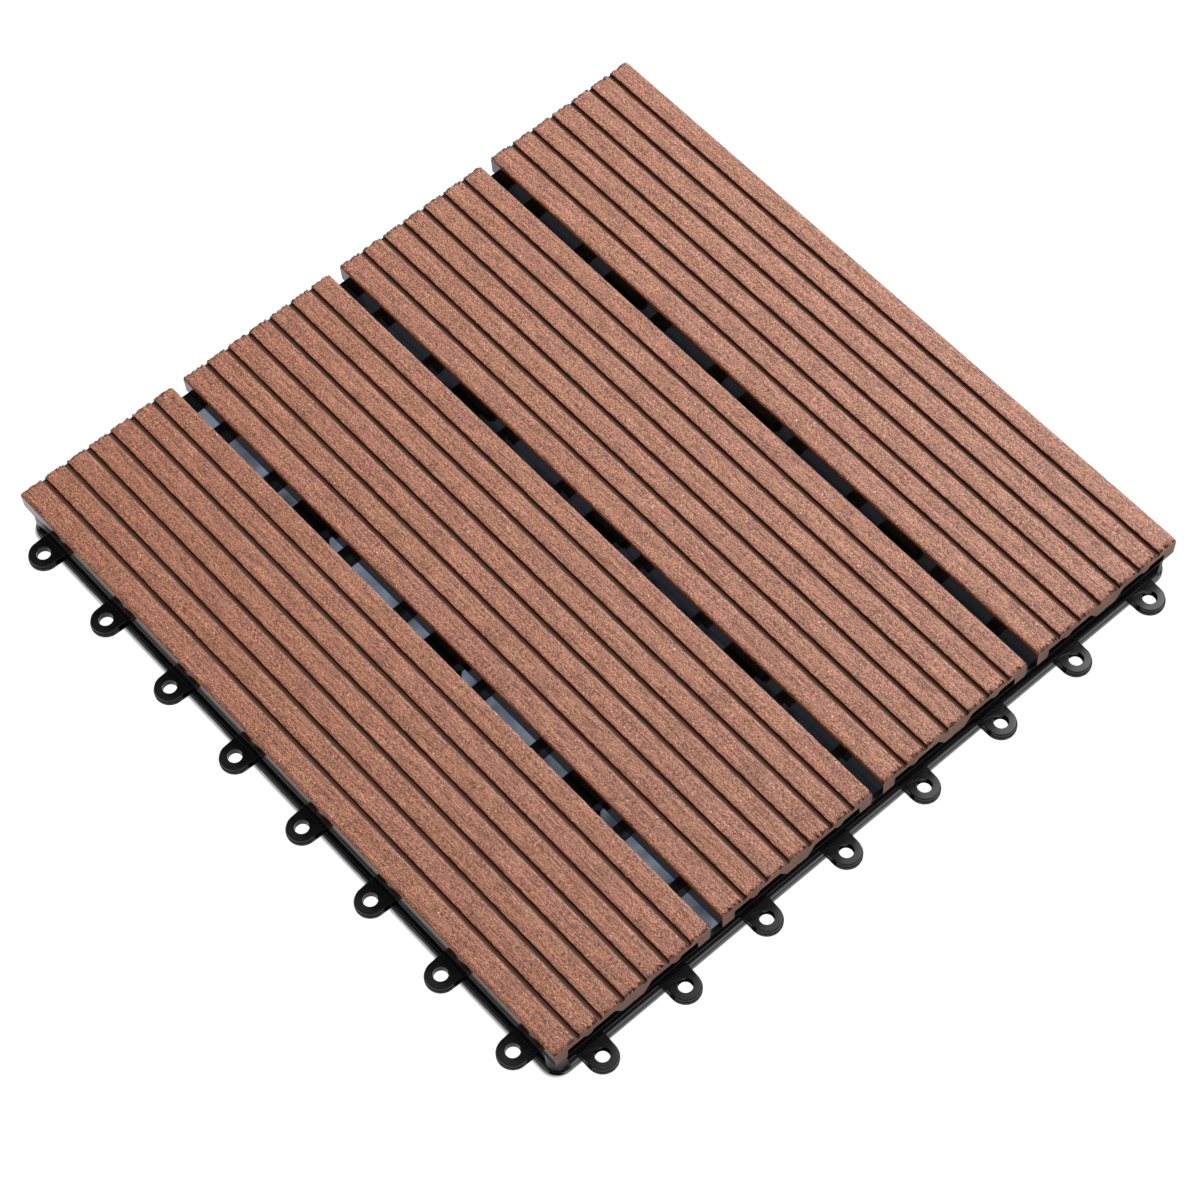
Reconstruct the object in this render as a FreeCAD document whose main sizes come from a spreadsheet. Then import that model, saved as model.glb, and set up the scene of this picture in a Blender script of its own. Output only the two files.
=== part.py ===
# Interlocking deck tile: four grooved wood-plastic slats screwed from below on a moulded base grid.
# X runs across the slats, Y along them, Z up. The origin is under the middle of the field of slats,
# on the underside of the middle foot.

import FreeCAD
import Part
import math
import os
import Sketcher

V = FreeCAD.Vector
doc = FreeCAD.newDocument("deck_tile")

SLAT_COUNT = 4
BAND_COUNT = 3
# Feet, bosses, screws and their holes are drawn with eight sides
SIDES = 8

# Driving dimensions, in millimetres
SIZES = [
    # slats
    ("slat_length", 300, "length of a slat"),
    ("slat_width", 71, "width of a slat"),
    ("slat_gap", 5.33, "open joint between two slats"),
    ("slat_height", 9, "height of a slat"),
    ("slat_draft", 0.3, "each side of a slat leans in this much from top to bottom"),
    ("slat_round", 1.0, "rounding of a slat's two long top edges"),
    ("channel_height", 4.9, "height of the two hollows under a slat"),
    ("leg_width", 5.4, "width of a slat's side leg at its foot"),
    ("leg_flare", 0.25, "how much wider the leg is at the hollow's ceiling"),
    ("core_foot", 9.8, "width of the middle rib at its foot"),
    ("core_root", 16.7, "width of the middle rib at the hollow's ceiling"),
    ("core_notch_width", 1.2, "width of the notch under the middle rib"),
    ("core_notch_depth", 0.8, "depth of the notch under the middle rib"),
    ("bead_centre", 20, "centre of the bead in a hollow's ceiling, from the slat's middle"),
    ("bead_base", 4.4, "width of that bead at the ceiling"),
    ("bead_tip", 1.8, "width of that bead at its tip"),
    ("bead_height", 1.6, "height of that bead"),
    ("groove_count", 6, "number of grooves in a slat's top"),
    ("groove_pitch", 10.18, "groove to groove"),
    ("groove_mouth", 2.2, "width of a groove at the top"),
    ("groove_floor", 1.8, "width of a groove at its floor"),
    ("groove_depth", 1.9, "depth of a groove"),
    # base grid
    ("grid_side", 298.6, "side of the base grid, wall to wall"),
    ("grid_shift", -0.5, "grid's middle from the middle of the slats, in X and in Y"),
    ("grid_height", 13, "height of the base grid"),
    ("grid_corner", 6, "plan radius of the grid's corners"),
    ("grid_wall", 2, "thickness of the outer wall"),
    ("flange_out", 0.65, "how far the foot flange stands out of the wall"),
    ("flange_height", 2.3, "height of the foot flange"),
    ("skirt_out", 0.45, "how far the skirt on the front wall stands out"),
    ("skirt_height", 6.5, "height of that skirt"),
    ("foot_height", 2, "inner ribs end this far above the floor"),
    ("foot_width", 18, "diameter of an inner foot"),
    ("foot_root", 1, "how far a foot reaches up into the ribs over it"),
    # bars and bands across the slats
    ("bar_one", 22, "first cross bar from the middle"),
    ("bar_two", 54.1, "second cross bar"),
    ("bar_three", 97.9, "third cross bar"),
    ("bar_four", 127.5, "fourth cross bar"),
    ("bar_cap_width", 4.2, "width of a cross bar's cap"),
    ("bar_cap_height", 2, "height of a cross bar's cap"),
    ("bar_web", 1.8, "thickness of a cross bar's web"),
    ("band_pitch", 76.2, "screw band to screw band"),
    ("band_width", 16, "width of a screw band"),
    ("band_top", 10.2, "height of a screw band's top face"),
    ("band_plate", 1.8, "thickness of a screw band's plate"),
    ("band_wall", 1.8, "thickness of a screw band's side walls"),
    # paired ribs under the joints between slats
    ("pair_space", 12.4, "clear space between the two ribs under a joint"),
    ("pair_wall", 1.8, "thickness of each of those ribs"),
    # screws
    ("screw_shank", 3.5, "diameter of a screw's shank"),
    ("screw_length", 9.5, "length of a screw under its head"),
    ("screw_point", 1.8, "length of a screw's point"),
    ("head_width", 7, "diameter of a screw's head"),
    ("head_height", 2.4, "height of a screw's head"),
    ("head_edge", 1.0, "height of the straight edge of a screw's head"),
    ("head_slope", 35, "lean of the head's crown from upright, in degrees"),
    ("point_slope", 30, "lean of the screw's point from upright, in degrees"),
    ("boss_width", 9, "diameter of a screw boss"),
    ("screw_clearance", 0.2, "radial clearance of a screw in its boss"),
    ("pilot_clearance", 0.02, "radial clearance of a screw in the slat's pilot hole"),
    ("pilot_extra", 0.6, "a pilot hole is this much deeper than its screw's tip"),
    # joining loops and pegs
    ("tile_pitch", 301, "tile to tile, loop to peg"),
    ("loop_count", 8, "number of loops on a side"),
    ("loop_pitch", 38.1, "loop to loop"),
    ("loop_reach", 5.2, "centre of a loop's hole from the wall's outer face"),
    ("loop_width", 12, "width of a loop"),
    ("loop_height", 3.3, "thickness of a loop"),
    ("loop_hole", 5.9, "diameter of a loop's hole"),
    ("peg_clearance", 0.35, "radial clearance of a peg in a loop's hole"),
    ("peg_overreach", 1.0, "a peg's tip is this far under the loop that it holds"),
    ("mouth_clearance", 1.0, "clearance round a loop in its pocket"),
    ("mouth_headroom", 0.8, "clearance over a loop in its pocket"),
    ("pocket_wall", 1.6, "thickness of a pocket's walls and roof"),
    # cutting
    ("cut_past", 1, "a cut runs this far past each face that it opens"),
]

sheet = doc.addObject("Spreadsheet::Sheet", "sizes")
for row, (alias, value, note) in enumerate(SIZES, start=1):
    sheet.set("A%d" % row, alias)
    sheet.set("B%d" % row, str(value))
    sheet.setAlias("B%d" % row, alias)
    sheet.set("C%d" % row, note)

# Sizes that follow from the ones above
FOLLOWS = [
    ("slat_pitch", "=slat_width + slat_gap", "slat to slat"),
    ("slat_seat", "=grid_height", "underside of the slats"),
    ("slat_row", "=-%.1f * slat_pitch" % ((SLAT_COUNT - 1) / 2), "middle of the first slat"),
    ("joint_row", "=-%.1f * slat_pitch" % ((SLAT_COUNT - 2) / 2), "middle of the first open joint"),
    ("slat_cut", "=slat_length + 2 * cut_past", "length of a cut along a whole slat"),
    ("band_row", "=-%.1f * band_pitch" % ((BAND_COUNT - 1) / 2), "middle of the first screw band"),
    ("slat_side", "=slat_width / 2 - slat_draft", "half width of a slat at its foot"),
    ("ceiling", "=channel_height", "height of the hollow's ceiling over the slat's underside"),
    ("leg_inner", "=slat_side - leg_width", "inner side of a leg at its foot"),
    ("grid_low", "=grid_shift - grid_side / 2", "outer face of the walls with the loops"),
    ("grid_high", "=grid_shift + grid_side / 2", "outer face of the walls with the pegs"),
    ("inner_low", "=grid_low + grid_wall", "inner face of the walls with the loops"),
    ("inner_high", "=grid_high - grid_wall", "inner face of the walls with the pegs"),
    ("bar_run", "=grid_side - grid_wall", "length of the bars, ribs and bands, into both walls"),
    ("flange_low", "=grid_low - flange_out", "edge of the foot flange beside the loops"),
    ("flange_high", "=grid_high + flange_out", "edge of the foot flange beside the pegs"),
    ("head_seat", "=band_top - band_plate", "underside of a screw band's plate"),
    ("loop_centre", "=grid_low - loop_reach", "line of the loops' holes"),
    ("loop_top", "=flange_height + loop_height", "top of a loop"),
    ("loop_row", "=-(loop_count - 1) / 2 * loop_pitch", "first loop of a side"),
    ("peg_centre", "=loop_centre + tile_pitch", "line of the pegs"),
    ("peg_width", "=loop_hole - 2 * peg_clearance", "diameter of a peg"),
    ("peg_tip", "=flange_height - peg_overreach", "underside of a peg"),
    ("mouth_side", "=loop_width / 2 + mouth_clearance", "half width of a pocket's mouth"),
    ("mouth_roof", "=loop_top + mouth_headroom", "height of a pocket's mouth"),
    ("mouth_back", "=peg_centre - mouth_side", "inner end of a pocket's mouth"),
]
first = len(SIZES) + 1
for row, (alias, formula, note) in enumerate(FOLLOWS, start=first):
    sheet.set("A%d" % row, alias)
    sheet.set("B%d" % row, formula)
    sheet.setAlias("B%d" % row, alias)
    sheet.set("C%d" % row, note)
doc.recompute()


def new_body(label):
    body = doc.addObject("PartDesign::Body", label)
    body.Label = label
    return body


def origin_part(body, role):
    for item in body.Origin.OriginFeatures:
        if item.Role == role:
            return item


def new_sketch(body, name, plane, lift=None):
    """A sketch on one of the body's own planes, lifted along its normal by an expression."""
    sketch = body.newObject("Sketcher::SketchObject", name)
    sketch.AttachmentSupport = (origin_part(body, plane), "")
    sketch.MapMode = "FlatFace"
    if lift:
        sketch.setExpression("AttachmentOffset.Base.z", lift)
    return sketch


def fix_point(sketch, geometry, point, across, along):
    """Hold a point of the sketch at two signed distances from its origin."""
    for kind, size in (("DistanceX", across), ("DistanceY", along)):
        row = sketch.addConstraint(Sketcher.Constraint(kind, -1, 1, geometry, point, 1.0))
        sketch.setExpression("Constraints[%d]" % row, size)


def add_outline(sketch, corners):
    """A closed outline of straight lines whose corners are pairs of expressions."""
    count = len(corners)
    start = sketch.GeometryCount
    ring = [V(10, 0, 0)]
    for i in range(1, count):
        ring.append(FreeCAD.Rotation(V(0, 0, 1), 360.0 * i / count).multVec(ring[0]))
    for i in range(count):
        sketch.addGeometry(Part.LineSegment(ring[i], ring[(i + 1) % count]), False)
    for i in range(count):
        after = start + (i + 1) % count
        sketch.addConstraint(Sketcher.Constraint("Coincident", start + i, 2, after, 1))
    for i, (across, along) in enumerate(corners):
        fix_point(sketch, start + i, 1, across, along)


def add_box(sketch, left, low, right, high):
    add_outline(sketch, [(left, low), (right, low), (right, high), (left, high)])


def add_circle(sketch, across, along, diameter):
    start = sketch.GeometryCount
    sketch.addGeometry(Part.Circle(V(0, 0, 0), V(0, 0, 1), 1.0), False)
    row = sketch.addConstraint(Sketcher.Constraint("Diameter", start, 2.0))
    sketch.setExpression("Constraints[%d]" % row, diameter)
    fix_point(sketch, start, 3, across, along)


def add_polygon(sketch, across, along, width):
    """A regular outline that stands for a circle, given by its width across flats."""
    reach = 1 / math.cos(math.pi / SIDES)
    corners = []
    for i in range(SIDES):
        turn = 2 * math.pi * (i + 0.5) / SIDES
        one = "%s + (%s) / 2 * %.6f" % (across, width, reach * math.cos(turn))
        two = "%s + (%s) / 2 * %.6f" % (along, width, reach * math.sin(turn))
        corners.append((one, two))
    add_outline(sketch, corners)


def pad(body, name, sketch, length, midplane=False, reverse=False):
    feature = body.newObject("PartDesign::Pad", name)
    feature.Profile = sketch
    feature.setExpression("Length", length)
    feature.Midplane = midplane
    feature.Reversed = reverse
    doc.recompute()
    return feature


def pocket(body, name, sketch, length=None, midplane=False, reverse=False):
    before = body.Shape.Volume
    feature = body.newObject("PartDesign::Pocket", name)
    feature.Profile = sketch
    if length:
        feature.setExpression("Length", length)
    else:
        feature.Type = "ThroughAll"
    feature.Midplane = midplane
    feature.Reversed = reverse
    doc.recompute()
    if body.Shape.Volume >= before:
        raise ValueError(name + " cuts nothing")
    return feature


def pattern(body, name, originals, rows):
    """Repeat features along one or two of the body's axes: (axis, spacing, count) for each."""
    feature = body.newObject("PartDesign::MultiTransform", name)
    feature.Originals = originals
    steps = []
    for axis, spacing, count in rows:
        step = doc.addObject("PartDesign::LinearPattern", name + "_" + axis.lower())
        step.Direction = (origin_part(body, axis), [""])
        step.Mode = "Spacing"
        step.setExpression("Offset", spacing)
        step.setExpression("Occurrences", count)
        steps.append(step)
    feature.Transformations = steps
    body.Tip = feature
    doc.recompute()
    return feature


def mirror(body, name, originals, plane):
    feature = body.newObject("PartDesign::Mirrored", name)
    feature.Originals = originals
    feature.MirrorPlane = (origin_part(body, plane), [""])
    body.Tip = feature
    doc.recompute()
    return feature


def round_edges(body, name, base, radius, wanted):
    """Fillet the edges of a feature that the wanted function picks."""
    names = []
    for i, edge in enumerate(base.Shape.Edges, start=1):
        if wanted(edge):
            names.append("Edge%d" % i)
    feature = body.newObject("PartDesign::Fillet", name)
    feature.Base = (base, names)
    feature.setExpression("Radius", radius)
    doc.recompute()
    return feature


def at_corner(edge, low, high):
    """Whether an edge stands upright at a corner of the square from low to high in X and Y."""
    box = edge.BoundBox
    if box.ZLength < 0.5 or box.XLength > 0.01 or box.YLength > 0.01:
        return False
    return all(min(abs(place - low), abs(place - high)) < 0.01 for place in (box.XMin, box.YMin))


# Base grid: one black moulding, made up of the forms below.
# Its outer wall, foot flange and the skirt on the front wall
grid = new_body("grid_wall")
s = new_sketch(grid, "wall_outline", "XY_Plane")
add_box(s, "sizes.grid_low", "sizes.grid_low", "sizes.grid_high", "sizes.grid_high")
wall = pad(grid, "wall", s, "sizes.grid_height")
round_edges(
    grid,
    "wall_corners",
    wall,
    "sizes.grid_corner",
    lambda edge: at_corner(edge, sheet.grid_low, sheet.grid_high),
)

s = new_sketch(grid, "flange_outline", "XY_Plane")
add_box(s, "sizes.flange_low", "sizes.flange_low", "sizes.flange_high", "sizes.flange_high")
flange = pad(grid, "flange", s, "sizes.flange_height")
round_edges(
    grid,
    "flange_corners",
    flange,
    "sizes.grid_corner + sizes.flange_out",
    lambda edge: at_corner(edge, sheet.flange_low, sheet.flange_high),
)

s = new_sketch(grid, "skirt_outline", "XY_Plane")
add_box(
    s,
    "sizes.grid_low + sizes.grid_corner",
    "sizes.grid_low - sizes.skirt_out",
    "sizes.grid_high - sizes.grid_corner",
    "sizes.inner_low",
)
pad(grid, "skirt", s, "sizes.skirt_height")

s = new_sketch(grid, "inside_outline", "XY_Plane")
add_box(s, "sizes.inner_low", "sizes.inner_low", "sizes.inner_high", "sizes.inner_high")
inside = pocket(grid, "inside", s, reverse=True)
round_edges(
    grid,
    "inside_corners",
    inside,
    "sizes.grid_corner - sizes.grid_wall",
    lambda edge: at_corner(edge, sheet.inner_low, sheet.inner_high),
)

# Cross bars of T section that carry the slats, from wall to wall
grid_bars = new_body("grid_bars")
s = new_sketch(grid_bars, "bar_section", "YZ_Plane", "sizes.grid_shift")
for bar in ("sizes.bar_one", "sizes.bar_two", "sizes.bar_three", "sizes.bar_four"):
    cap_low = "sizes.grid_height - sizes.bar_cap_height"
    add_outline(
        s,
        [
            (bar + " - sizes.bar_web / 2", "sizes.foot_height"),
            (bar + " + sizes.bar_web / 2", "sizes.foot_height"),
            (bar + " + sizes.bar_web / 2", cap_low),
            (bar + " + sizes.bar_cap_width / 2", cap_low),
            (bar + " + sizes.bar_cap_width / 2", "sizes.grid_height"),
            (bar + " - sizes.bar_cap_width / 2", "sizes.grid_height"),
            (bar + " - sizes.bar_cap_width / 2", cap_low),
            (bar + " - sizes.bar_web / 2", cap_low),
        ],
    )
bars = pad(grid_bars, "bars", s, "sizes.bar_run", midplane=True)
mirror(grid_bars, "bars_behind", [bars], "XZ_Plane")

# Screw bands: wide channels that open downwards, a little under the slats
grid_bands = new_body("grid_bands")
s = new_sketch(grid_bands, "band_section", "YZ_Plane", "sizes.grid_shift")
left = "sizes.band_row - sizes.band_width / 2"
right = "sizes.band_row + sizes.band_width / 2"
add_outline(
    s,
    [
        (left, "sizes.foot_height"),
        (left + " + sizes.band_wall", "sizes.foot_height"),
        (left + " + sizes.band_wall", "sizes.head_seat"),
        (right + " - sizes.band_wall", "sizes.head_seat"),
        (right + " - sizes.band_wall", "sizes.foot_height"),
        (right, "sizes.foot_height"),
        (right, "sizes.band_top"),
        (left, "sizes.band_top"),
    ],
)
band = pad(grid_bands, "band", s, "sizes.bar_run", midplane=True)
pattern(grid_bands, "bands", [band], [("Y_Axis", "sizes.band_pitch", str(BAND_COUNT))])

# Paired ribs under the joints between the slats
grid_pairs = new_body("grid_pairs")
s = new_sketch(grid_pairs, "pair_section", "XZ_Plane", "-sizes.grid_shift")
for side in (-1, 1):
    near = "sizes.joint_row + %d * sizes.pair_space / 2" % side
    far = "sizes.joint_row + %d * (sizes.pair_space / 2 + sizes.pair_wall)" % side
    add_box(s, near, "sizes.foot_height", far, "sizes.grid_height")
pair = pad(grid_pairs, "pair", s, "sizes.bar_run", midplane=True)
joint_rows = ("X_Axis", "sizes.slat_pitch", str(SLAT_COUNT - 1))
band_rows = ("Y_Axis", "sizes.band_pitch", str(BAND_COUNT))
pattern(grid_pairs, "pairs", [pair], [joint_rows])

# Round feet where bands and paired ribs cross
grid_feet = new_body("grid_feet")
s = new_sketch(grid_feet, "foot_outline", "XY_Plane")
add_polygon(s, "sizes.joint_row", "sizes.band_row", "sizes.foot_width")
foot = pad(grid_feet, "foot", s, "sizes.foot_height + sizes.foot_root")
pattern(grid_feet, "feet", [foot], [joint_rows, band_rows])

# Screw bosses under the middle of each slat, and the bores for the screws
screw_rows = [("X_Axis", "sizes.slat_pitch", str(SLAT_COUNT)), band_rows]
grid_bosses = new_body("grid_bosses")
s = new_sketch(grid_bosses, "boss_outline", "XY_Plane", "sizes.head_seat")
add_polygon(s, "sizes.slat_row", "sizes.band_row", "sizes.boss_width")
boss = pad(grid_bosses, "boss", s, "sizes.slat_seat - sizes.head_seat")
pattern(grid_bosses, "bosses", [boss], screw_rows)
screw_bores = new_body("screw_bores")
s = new_sketch(screw_bores, "bore_outline", "XY_Plane", "sizes.head_seat")
add_polygon(s, "sizes.slat_row", "sizes.band_row", "sizes.screw_shank + 2 * sizes.screw_clearance")
bore = pad(screw_bores, "bore", s, "sizes.slat_seat - sizes.head_seat")
pattern(screw_bores, "bores", [bore], screw_rows)


def along_side(side, across, along):
    """A point given from the wall inwards and along the wall, on a side in X or in Y."""
    return (across, along) if side == "X" else (along, across)


def side_box(sketch, side, near, far, middle, half):
    """A rectangle between two distances across a side, centred along it."""
    one = along_side(side, near, middle + " - " + half)
    two = along_side(side, far, middle + " + " + half)
    add_box(sketch, one[0], one[1], two[0], two[1])


# Joining loops on two sides: a flat tongue with a round end and a hole
grid_loops = new_body("grid_loops")
for side, axis in (("X", "Y_Axis"), ("Y", "X_Axis")):
    name = "loop_%s_" % side.lower()
    s = new_sketch(grid_loops, name + "tongue_outline", "XY_Plane", "sizes.flange_height")
    inside_wall = "sizes.grid_low + sizes.grid_wall / 2"
    side_box(s, side, "sizes.loop_centre", inside_wall, "sizes.loop_row", "sizes.loop_width / 2")
    tongue = pad(grid_loops, name + "tongue", s, "sizes.loop_height")
    centre = along_side(side, "sizes.loop_centre", "sizes.loop_row")
    s = new_sketch(grid_loops, name + "end_outline", "XY_Plane", "sizes.flange_height")
    add_circle(s, centre[0], centre[1], "sizes.loop_width")
    end = pad(grid_loops, name + "end", s, "sizes.loop_height")
    s = new_sketch(grid_loops, name + "hole_outline", "XY_Plane", "sizes.flange_height")
    add_circle(s, centre[0], centre[1], "sizes.loop_hole")
    hole = pocket(grid_loops, name + "hole", s, "sizes.loop_height", reverse=True)
    pattern(grid_loops, name + "row", [tongue, end, hole], [(axis, "sizes.loop_pitch", "sizes.loop_count")])

# Pockets on the other two sides, open to the floor and to the outside, for a neighbour's loops
grid_pockets = new_body("grid_pockets")
mouths = new_body("mouths")
for side, axis in (("X", "Y_Axis"), ("Y", "X_Axis")):
    row = [(axis, "sizes.loop_pitch", "sizes.loop_count")]
    name = "pocket_%s" % side.lower()
    s = new_sketch(grid_pockets, name + "_outline", "XY_Plane", "sizes.foot_height")
    inner = "sizes.mouth_back - sizes.pocket_wall"
    half = "(sizes.mouth_side + sizes.pocket_wall)"
    side_box(s, side, inner, "sizes.inner_high + sizes.grid_wall / 2", "sizes.loop_row", half)
    block = pad(grid_pockets, name, s, "sizes.mouth_roof + sizes.pocket_wall - sizes.foot_height")
    pattern(grid_pockets, name + "_row", [block], row)
    name = "mouth_%s" % side.lower()
    s = new_sketch(mouths, name + "_outline", "XY_Plane")
    outside = "sizes.flange_high + sizes.cut_past"
    side_box(s, side, "sizes.mouth_back", outside, "sizes.loop_row", "sizes.mouth_side")
    mouth = pad(mouths, name, s, "sizes.mouth_roof")
    pattern(mouths, name + "_row", [mouth], row)

# Round pegs that hang from the pockets' roofs
grid_pegs = new_body("grid_pegs")
for side, axis in (("X", "Y_Axis"), ("Y", "X_Axis")):
    name = "peg_%s" % side.lower()
    centre = along_side(side, "sizes.peg_centre", "sizes.loop_row")
    s = new_sketch(grid_pegs, name + "_outline", "XY_Plane", "sizes.peg_tip")
    add_circle(s, centre[0], centre[1], "sizes.peg_width")
    peg = pad(grid_pegs, name, s, "sizes.mouth_roof - sizes.peg_tip")
    pattern(grid_pegs, name + "_row", [peg], [(axis, "sizes.loop_pitch", "sizes.loop_count")])

# The moulding as one piece
filled = doc.addObject("Part::MultiFuse", "filled_grid")
filled.Shapes = [grid, grid_bars, grid_bands, grid_pairs, grid_feet, grid_bosses, grid_loops, grid_pockets]
tools = doc.addObject("Part::MultiFuse", "grid_openings")
tools.Shapes = [mouths, screw_bores]
opened = doc.addObject("Part::Cut", "opened_grid")
opened.Base = filled
opened.Tool = tools
base_grid = doc.addObject("Part::MultiFuse", "base_grid")
base_grid.Shapes = [opened, grid_pegs]
base_grid.Label = "base_grid"
doc.recompute()


# Slats: one extruded section each, hollow underneath, with grooves along the top and three pilot holes
def make_slat(number):
    slat = new_body("slat_%d" % number)
    s = new_sketch(slat, "section_%d" % number, "XZ_Plane")
    top = "sizes.slat_height"
    half = "sizes.slat_width / 2"
    add_outline(s, [("-sizes.slat_side", "0"), ("sizes.slat_side", "0"), (half, top), ("-" + half, top)])
    plank = pad(slat, "plank_%d" % number, s, "sizes.slat_length", midplane=True)
    plank = round_edges(
        slat,
        "plank_round_%d" % number,
        plank,
        "sizes.slat_round",
        lambda edge: edge.BoundBox.YLength > 1 and edge.BoundBox.ZMin > sheet.slat_height - 0.01,
    )
    s = new_sketch(slat, "groove_section_%d" % number, "XZ_Plane")
    first = "-(sizes.groove_count - 1) / 2 * sizes.groove_pitch"
    floor = "sizes.slat_height - sizes.groove_depth"
    add_outline(
        s,
        [
            (first + " - sizes.groove_floor / 2", floor),
            (first + " + sizes.groove_floor / 2", floor),
            (first + " + sizes.groove_mouth / 2", top),
            (first + " - sizes.groove_mouth / 2", top),
        ],
    )
    groove = pocket(slat, "groove_%d" % number, s, "sizes.slat_cut", midplane=True)
    groove_rows = ("X_Axis", "sizes.groove_pitch", "sizes.groove_count")
    pattern(slat, "grooves_%d" % number, [groove], [groove_rows])
    s = new_sketch(slat, "hollow_section_%d" % number, "XZ_Plane")
    bead = "sizes.ceiling - sizes.bead_height"
    add_outline(
        s,
        [
            ("sizes.core_foot / 2", "0"),
            ("sizes.leg_inner", "0"),
            ("sizes.leg_inner - sizes.leg_flare", "sizes.ceiling"),
            ("sizes.bead_centre + sizes.bead_base / 2", "sizes.ceiling"),
            ("sizes.bead_centre + sizes.bead_tip / 2", bead),
            ("sizes.bead_centre - sizes.bead_tip / 2", bead),
            ("sizes.bead_centre - sizes.bead_base / 2", "sizes.ceiling"),
            ("sizes.core_root / 2", "sizes.ceiling"),
        ],
    )
    hollow = pocket(slat, "hollow_%d" % number, s, "sizes.slat_cut", midplane=True)
    mirror(slat, "hollows_%d" % number, [hollow], "YZ_Plane")
    s = new_sketch(slat, "notch_section_%d" % number, "XZ_Plane")
    add_outline(
        s,
        [
            ("-sizes.core_notch_width / 2", "0"),
            ("sizes.core_notch_width / 2", "0"),
            ("0", "sizes.core_notch_depth"),
        ],
    )
    pocket(slat, "notch_%d" % number, s, "sizes.slat_cut", midplane=True)
    s = new_sketch(slat, "pilot_outline_%d" % number, "XY_Plane")
    add_polygon(s, "0", "sizes.band_row", "sizes.screw_shank + 2 * sizes.pilot_clearance")
    deep = "sizes.head_seat + sizes.screw_length + sizes.pilot_extra - sizes.slat_seat"
    pilot = pocket(slat, "pilot_%d" % number, s, deep, reverse=True)
    pattern(slat, "pilots_%d" % number, [pilot], [band_rows])
    slat.setExpression("Placement.Base.x", "sizes.slat_row + %d * sizes.slat_pitch" % (number - 1))
    slat.setExpression("Placement.Base.z", "sizes.slat_seat")
    return slat


slats = [make_slat(number) for number in range(1, SLAT_COUNT + 1)]

# Fixing screws: pan heads under the screw bands, driven up into the slats' middle ribs
screws = new_body("fixing_screws")


def screw_stage(name, lift, width, height, slope=None, reverse=False):
    """One stage of the first screw: a prism, or a blunt cone that narrows by a slope in degrees."""
    s = new_sketch(screws, name + "_outline", "XY_Plane", lift)
    add_polygon(s, "sizes.slat_row", "sizes.band_row", width)
    stage = pad(screws, name, s, height, reverse=reverse)
    if slope:
        stage.setExpression("TaperAngle", "-" + slope)
    return stage


tip = "sizes.screw_length - sizes.screw_point"
crown = "sizes.head_height - sizes.head_edge"
head = screw_stage("head", "-sizes.head_edge", "sizes.head_width", "sizes.head_edge")
dome = screw_stage("dome", "-sizes.head_edge", "sizes.head_width", crown, "sizes.head_slope", True)
shank = screw_stage("shank", None, "sizes.screw_shank", tip)
point = screw_stage("point", tip, "sizes.screw_shank", "sizes.screw_point", "sizes.point_slope")
doc.recompute()
pattern(screws, "screw_rows", [head, dome, shank, point], screw_rows)
screws.setExpression("Placement.Base.z", "sizes.head_seat")

doc.recompute()
pieces = [base_grid] + slats + [screws]
for item in doc.Objects:
    if "Invalid" in item.State or "Error" in item.State:
        raise ValueError("%s: %s" % (item.Name, item.State))
for piece in pieces:
    if piece.Shape.isNull() or not piece.Shape.isValid():
        raise ValueError(piece.Label + " has no valid shape")

os.makedirs("parts", exist_ok=True)
for piece in pieces:
    piece.Shape.exportStep("parts/%s.step" % piece.Label)
    box = piece.Shape.BoundBox
    corners = (box.XMin, box.XMax, box.YMin, box.YMax, box.ZMin, box.ZMax)
    print(piece.Label, len(piece.Shape.Solids), "%.0f" % piece.Shape.Volume, "%.2f %.2f %.2f %.2f %.2f %.2f" % corners)
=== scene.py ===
import math

import bmesh
import bpy
from mathutils import Matrix, Vector


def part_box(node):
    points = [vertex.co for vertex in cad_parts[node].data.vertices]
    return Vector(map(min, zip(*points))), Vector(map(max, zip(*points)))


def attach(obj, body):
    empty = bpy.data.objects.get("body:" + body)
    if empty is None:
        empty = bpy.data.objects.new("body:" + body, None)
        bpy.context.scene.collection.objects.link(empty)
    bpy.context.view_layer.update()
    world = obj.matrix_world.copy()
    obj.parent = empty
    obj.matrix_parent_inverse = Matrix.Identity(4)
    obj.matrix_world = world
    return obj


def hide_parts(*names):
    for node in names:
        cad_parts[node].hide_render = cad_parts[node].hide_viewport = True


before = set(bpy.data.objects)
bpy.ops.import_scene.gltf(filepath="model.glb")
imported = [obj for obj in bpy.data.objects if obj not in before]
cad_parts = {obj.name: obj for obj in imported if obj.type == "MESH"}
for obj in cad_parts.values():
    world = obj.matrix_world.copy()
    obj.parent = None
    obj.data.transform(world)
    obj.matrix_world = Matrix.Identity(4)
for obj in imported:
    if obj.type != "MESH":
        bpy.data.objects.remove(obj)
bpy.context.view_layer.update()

# Base grid. One injection moulding in black polypropylene: an outer wall with a foot flange, cross
# bars, screw bands and paired ribs, eight loops on each of two sides and eight pegs on each of the
# others. The mould leaves its edges a little soft, and the loops' upper edges quite round.
MM = 0.001
TOUCH, WELD = 0.01 * MM, 0.002 * MM
MOULD_EDGE, LOOP_EDGE, HOLE_EDGE = 0.22 * MM, 0.4 * MM, 0.12 * MM
WALL_FACE = -149.8 * MM
LOOP_LOW, LOOP_TOP = 2.3 * MM, 5.6 * MM
LOOP_CENTRE, LOOP_ROW, LOOP_PITCH = -155 * MM, -133.35 * MM, 38.1 * MM
LOOP_HOLE, HOLE_MARGIN = 5.9 * MM, 0.2 * MM
HOLE_MOUTH, HOLE_FOOT = 0.94, 0.90
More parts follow.
